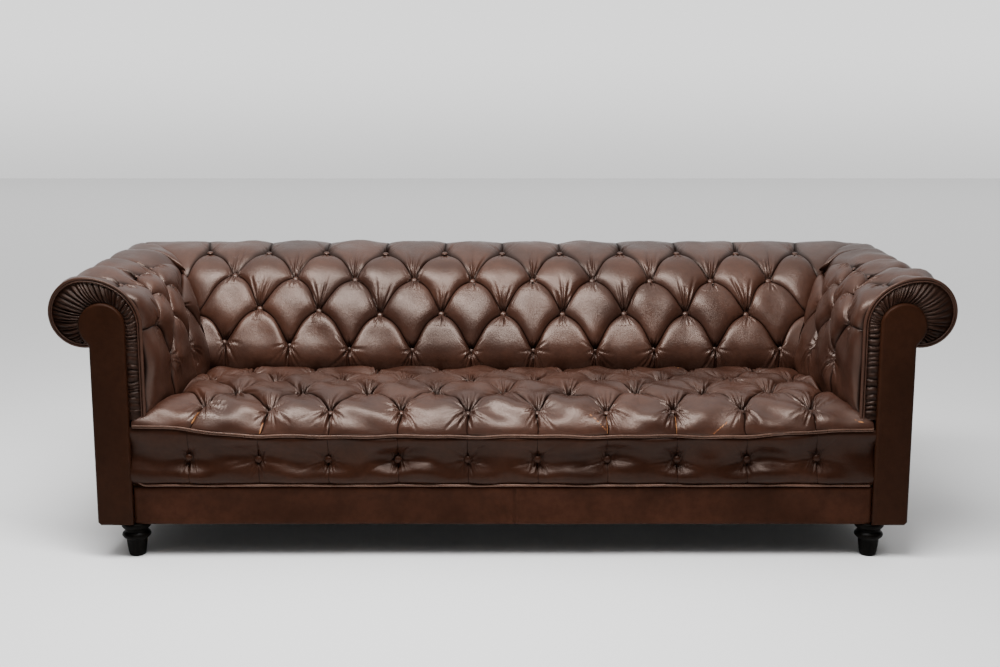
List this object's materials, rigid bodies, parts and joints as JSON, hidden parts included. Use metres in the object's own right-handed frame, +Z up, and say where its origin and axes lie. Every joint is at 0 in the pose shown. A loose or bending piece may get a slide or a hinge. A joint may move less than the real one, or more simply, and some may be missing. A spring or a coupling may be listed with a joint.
{
  "type": "leather sofa",
  "caption": "Long low deep-buttoned leather sofa with rolled arms and back of one height, buttoned fixed seat, scroll facings with gathered bands, and short turned black feet.",
  "frame": {"origin": "on the floor, under the middle of the sofa's outline", "axes": "+X along the sofa's length to the right of someone who looks at its front, +Y from the front to the back, +Z up"},
  "size_m": [2.3992, 0.9296, 0.771],
  "materials": {
    "leather": "aged, semi-gloss with worn tan cracks",
    "trim_leather": "darker, semi-gloss",
    "frame_wood": "planed beech",
    "plywood": "sawn birch plywood",
    "black_wood": "black lacquer, satin",
    "steel": "bright zinc plate",
    "hessian": "matte coarse weave",
    "bottom_cloth": "matte black non-woven"
  },
  "bodies": {
    "root": {"back_gusset_1": "plywood", "back_gusset_2": "plywood", "back_gusset_3": "plywood", "back_gusset_4": "plywood", "back_pad": "leather", "back_tacking_rail": "frame_wood", "back_top_rail": "frame_wood", "bottom_cloth": "bottom_cloth", "front_rail": "frame_wood", "front_rail_cover": "leather", "front_rail_welt": "trim_leather", "left_arm_pad": "leather", "left_arm_tacking_rail": "frame_wood", "left_arm_top_rail": "frame_wood", "left_cross_rail": "frame_wood", "left_facing": "trim_leather", "left_front_corner_block": "frame_wood", "left_front_foot": "black_wood", "left_front_foot_bolt": "steel", "left_front_post": "frame_wood", "left_outside_arm": "leather", "left_rear_corner_block": "frame_wood", "left_rear_foot": "black_wood", "left_rear_foot_bolt": "steel", "left_rear_post": "frame_wood", "left_scroll_band": "trim_leather", "left_scroll_welt": "trim_leather", "left_side_rail": "frame_wood", "outside_back": "leather", "rear_rail": "frame_wood", "right_arm_pad": "leather", "right_arm_tacking_rail": "frame_wood", "right_arm_top_rail": "frame_wood", "right_cross_rail": "frame_wood", "right_facing": "trim_leather", "right_front_corner_block": "frame_wood", "right_front_foot": "black_wood", "right_front_foot_bolt": "steel", "right_front_post": "frame_wood", "right_outside_arm": "leather", "right_rear_corner_block": "frame_wood", "right_rear_foot": "black_wood", "right_rear_foot_bolt": "steel", "right_rear_post": "frame_wood", "right_scroll_band": "trim_leather", "right_scroll_welt": "trim_leather", "right_side_rail": "frame_wood", "seat_border": "leather", "seat_border_welt": "trim_leather", "seat_cushion": "leather", "seat_hessian": "hessian", "seat_spring_1": "steel", "seat_spring_2": "steel", "seat_spring_3": "steel", "seat_spring_4": "steel", "seat_spring_5": "steel", "seat_spring_6": "steel", "seat_spring_7": "steel", "seat_spring_8": "steel", "spring_rail": "frame_wood"}
  },
  "joints": []
}
